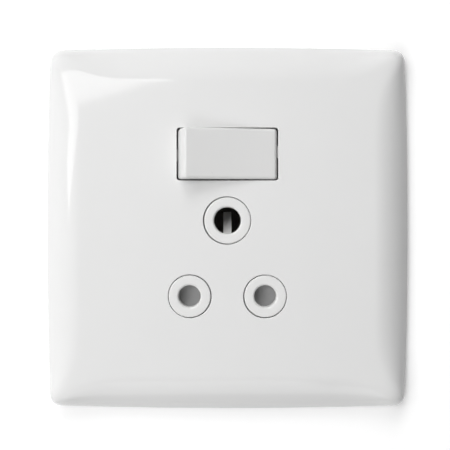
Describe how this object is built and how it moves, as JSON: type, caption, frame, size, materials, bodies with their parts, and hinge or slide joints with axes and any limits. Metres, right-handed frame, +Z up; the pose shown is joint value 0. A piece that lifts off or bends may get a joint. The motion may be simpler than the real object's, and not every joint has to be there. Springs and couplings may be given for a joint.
{
  "type": "switched wall socket",
  "caption": "Square flush wall socket with round-pin entries, safety shutter and a rocker switch under a domed clip-on cover.",
  "frame": {"origin": "middle of the two box-screw slots, in the wall plane", "axes": "+Z up the wall, +Y into the wall, so the face of the socket looks along -Y"},
  "size_m": [0.125, 0.0376, 0.125],
  "materials": {
    "cover_plastic": "smooth moulded white, soft gloss",
    "housing_plastic": "smooth moulded white, soft gloss",
    "rocker_plastic": "smooth moulded white, soft gloss",
    "rear_plastic": "plain moulded off-white, matt",
    "plunger_nylon": "natural nylon",
    "shutter_plastic": "moulded grey, matt",
    "galvanised_steel": "pressed and galvanised",
    "plated_steel": "zinc plated",
    "spring_steel": "bright spring wire and strip",
    "contact_brass": "stamped and turned brass",
    "contact_silver": "silver contact face"
  },
  "bodies": {
    "base": {"cover_plate": "cover_plastic", "mounting_frame": "galvanised_steel", "front_housing": "housing_plastic", "rear_housing": "rear_plastic", "housing_screws": "plated_steel", "frame_rivets": "plated_steel", "fixed_contact_tip": "contact_silver", "line_strip": "contact_brass", "live_strip": "contact_brass", "neutral_strip": "contact_brass", "earth_strap": "contact_brass", "strap_rivet": "plated_steel", "line_sleeve": "contact_brass", "neutral_sleeve": "contact_brass", "earth_sleeve": "contact_brass", "line_grip_ring": "spring_steel", "neutral_grip_ring": "spring_steel", "earth_grip_ring": "spring_steel", "live_terminal": "contact_brass", "neutral_terminal": "contact_brass", "earth_terminal": "contact_brass", "terminal_screws": "plated_steel", "shutter_spring": "spring_steel"},
    "rocker": {"rocker": "rocker_plastic", "plunger_spring": "spring_steel"},
    "plunger": {"rocker_plunger": "plunger_nylon"},
    "lever": {"contact_lever": "contact_brass", "moving_contact_tip": "contact_silver"},
    "shutter": {"shutter": "shutter_plastic"}
  },
  "joints": [
    {"name": "rocker_pivot", "type": "hinge", "parent": "base", "child": "rocker", "pos_m": [0, -0.00549, 0.0248], "axis": [0, 0, 1], "range_deg": [-18, 0]},
    {"name": "plunger_slide", "type": "slide", "parent": "rocker", "child": "plunger", "axis": [-0.1564, 0.9877, 0], "range_m": [-0.0008, 0], "stiffness_N_per_m": 500, "springref_m": 0.003, "deforming": ["plunger_spring"]},
    {"name": "lever_pivot", "type": "hinge", "parent": "base", "child": "lever", "pos_m": [0, 0.00783, 0.0248], "axis": [0, 0, 1], "range_deg": [0, 14]},
    {"name": "shutter_slide", "type": "slide", "parent": "base", "child": "shutter", "axis": [0, 0, 1], "range_m": [-0.0075, 0], "stiffness_N_per_m": 60, "springref_m": 0.01, "deforming": ["shutter_spring"]}
  ],
  "couplings": [
    {"joint": "lever_pivot", "follows": "rocker_pivot", "ratio": -0.77778}
  ]
}
